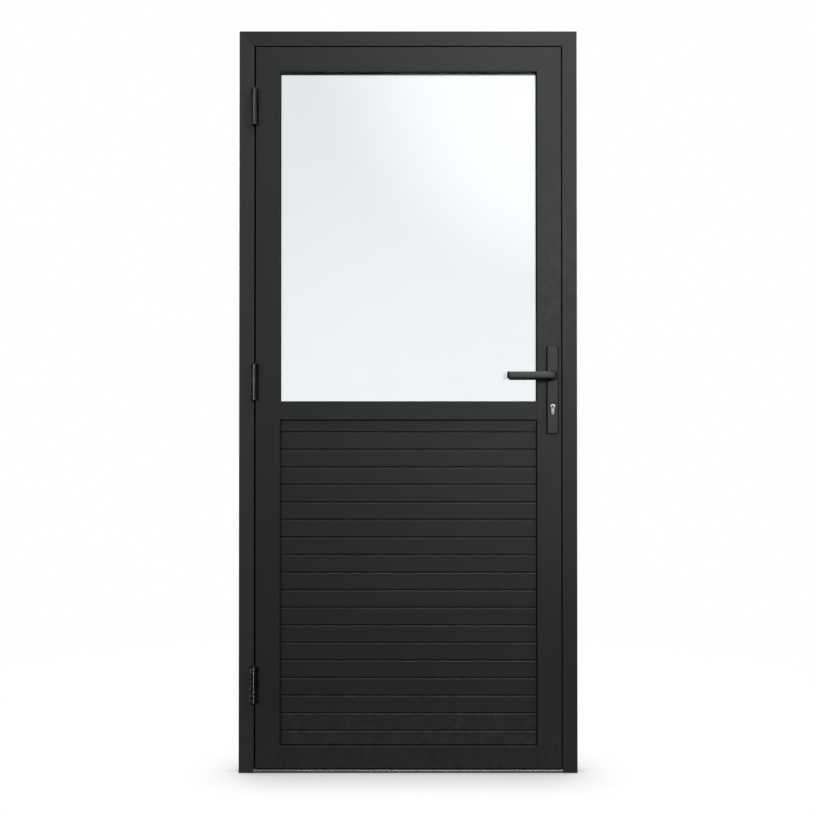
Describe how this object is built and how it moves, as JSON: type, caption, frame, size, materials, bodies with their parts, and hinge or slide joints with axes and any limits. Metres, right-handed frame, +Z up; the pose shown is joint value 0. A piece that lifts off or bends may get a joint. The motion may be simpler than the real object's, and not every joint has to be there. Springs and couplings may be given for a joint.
{
  "type": "slatted front door",
  "caption": "Hinged aluminium front door in its frame, a tall clear window above a panel of horizontal slats, with a lever handle, lock cylinder and surface hinges.",
  "frame": {"origin": "middle of the threshold's underside on the floor, halfway through the frame's depth", "axes": "+X to the right seen from outside, towards the lock; +Y into the building; +Z up"},
  "size_m": [0.98, 0.1552, 2.15],
  "materials": {
    "coated_aluminium": "satin",
    "slat_coating": "satin",
    "handle_coating": "satin",
    "hinge_coating": "satin",
    "rubber": "matte",
    "glass": null,
    "spacer": "matte",
    "lock_steel": null,
    "satin_nickel": "satin"
  },
  "bodies": {
    "frame": {"frame_hinge_jamb": "coated_aluminium", "frame_lock_jamb": "coated_aluminium", "frame_head": "coated_aluminium", "strike_plate": "lock_steel", "threshold": "coated_aluminium", "frame_gasket": "rubber", "bottom_hinge_frame_half": "hinge_coating", "middle_hinge_frame_half": "hinge_coating", "top_hinge_frame_half": "hinge_coating"},
    "leaf": {"leaf_hinge_stile": "coated_aluminium", "leaf_lock_stile": "coated_aluminium", "leaf_top_rail": "coated_aluminium", "leaf_mid_rail": "coated_aluminium", "leaf_bottom_rail": "coated_aluminium", "glass_outer_pane": "glass", "glass_inner_pane": "glass", "glass_spacer": "spacer", "glass_gaskets": "rubber", "panel_gaskets": "rubber", "glass_beads": "coated_aluminium", "panel_beads": "coated_aluminium", "lock_case": "lock_steel", "lock_bolts": "lock_steel", "lock_cylinder": "satin_nickel", "outer_handle_plate": "handle_coating", "inner_handle_plate": "handle_coating", "bottom_hinge_leaf_half": "hinge_coating", "middle_hinge_leaf_half": "hinge_coating", "top_hinge_leaf_half": "hinge_coating", "slat_01": "slat_coating", "slat_02": "slat_coating", "slat_03": "slat_coating", "slat_04": "slat_coating", "slat_05": "slat_coating", "slat_06": "slat_coating", "slat_07": "slat_coating", "slat_08": "slat_coating", "slat_09": "slat_coating", "slat_10": "slat_coating", "slat_11": "slat_coating", "slat_12": "slat_coating", "slat_13": "slat_coating", "slat_14": "slat_coating", "slat_15": "slat_coating", "slat_16": "slat_coating", "slat_17": "slat_coating", "slat_18": "slat_coating", "slat_19": "slat_coating"},
    "handle": {"outer_lever": "handle_coating", "inner_lever": "handle_coating", "lever_spindle": "lock_steel"}
  },
  "joints": [
    {"name": "leaf_swing", "type": "hinge", "parent": "frame", "child": "leaf", "pos_m": [-0.4445, -0.0355, 1.13], "axis": [0, 0, -1], "range_deg": [0, 170]},
    {"name": "lever_turn", "type": "hinge", "parent": "leaf", "child": "handle", "pos_m": [0.418, -0.005, 1.149], "axis": [0, -1, 0], "range_deg": [0, 40], "stiffness_Nm_per_rad": 1.2, "springref_deg": -28.65}
  ]
}
